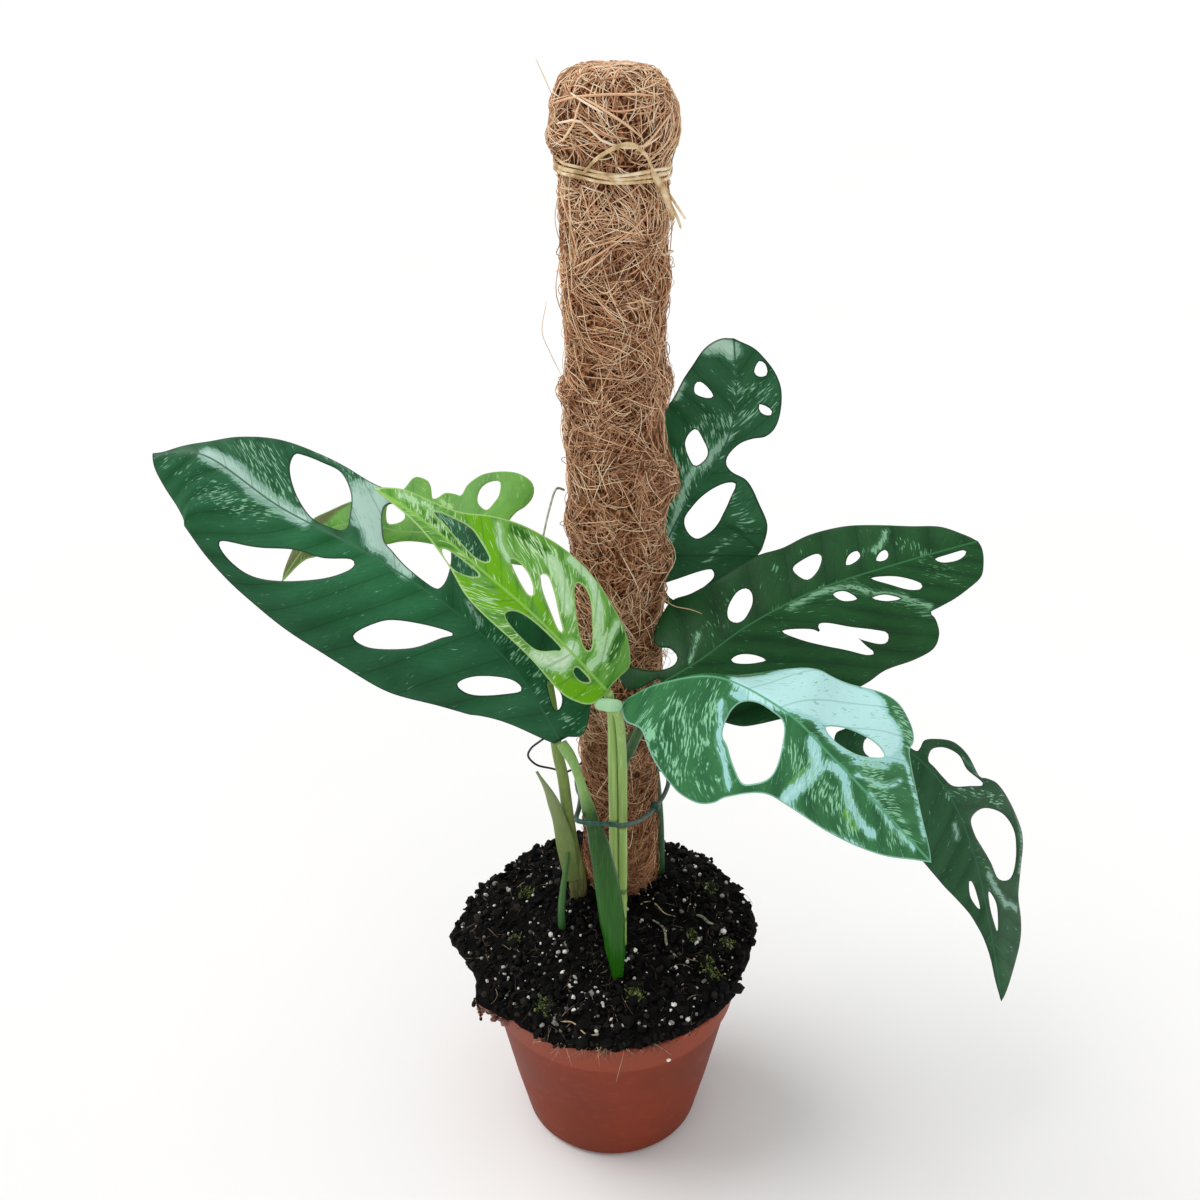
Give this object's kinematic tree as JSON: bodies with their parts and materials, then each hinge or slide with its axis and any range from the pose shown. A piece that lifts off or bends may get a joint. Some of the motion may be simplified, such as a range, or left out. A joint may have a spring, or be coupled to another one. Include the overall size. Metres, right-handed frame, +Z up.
{
  "type": "potted indonesian marble monstera",
  "caption": "Young variegated window-leaved aroid in a round nursery pot, its marbled perforated leaves tied round a coir-wrapped climbing pole.",
  "frame": {"origin": "middle of the pot's underside, on the surface it stands on", "axes": "+Z up along the pot and pole, -Y towards the viewer of the picture, +X to the viewer's right"},
  "size_m": [0.3655, 0.1386, 0.445],
  "materials": {
    "terracotta_plastic": "satin thin-walled nursery plastic, dusty, with peat smears",
    "peat_mix": "moist black peat with white perlite and bits of fibre",
    "wood_stick": "plain sawn softwood, matt",
    "coir_fibre": "rough matted coconut fibre, matt",
    "raffia": "dry split raffia, matt",
    "green_stem": "smooth waxy green, satin",
    "pale_petiole": "smooth waxy pale green, satin",
    "sheath_green": "smooth waxy bright green, satin",
    "green_tie": "soft dull green tie, matt",
    "dark_wire": "dark coated wire, satin",
    "paper_twist": "weathered twist tie, matt",
    "marbled_leaf": "dark green leaf marbled in cream and grey-green, satin gloss",
    "young_leaf": "yellow-green young leaf marbled in white, satin gloss"
  },
  "bodies": {
    "root": {"pot": "terracotta_plastic", "soil": "peat_mix", "pole_stick": "wood_stick", "pole_coir": "coir_fibre", "pole_raffia": "raffia", "vine_stem": "green_stem", "petiole_c_left": "green_stem", "petiole_f_knee": "pale_petiole", "tie_band": "green_tie", "wire_pin": "dark_wire", "twist_tie": "paper_twist", "petiole_a_sheathed": "sheath_green", "petiole_b": "pale_petiole", "petiole_d_behind_pole": "sheath_green", "leaf_a_large_left": "marbled_leaf", "leaf_b_young_front": "young_leaf", "leaf_c_behind_left": "young_leaf", "leaf_d_behind_pole": "marbled_leaf", "leaf_e_large_right": "marbled_leaf", "leaf_f_front_right": "marbled_leaf", "leaf_g_drooping_right": "marbled_leaf"}
  },
  "joints": []
}
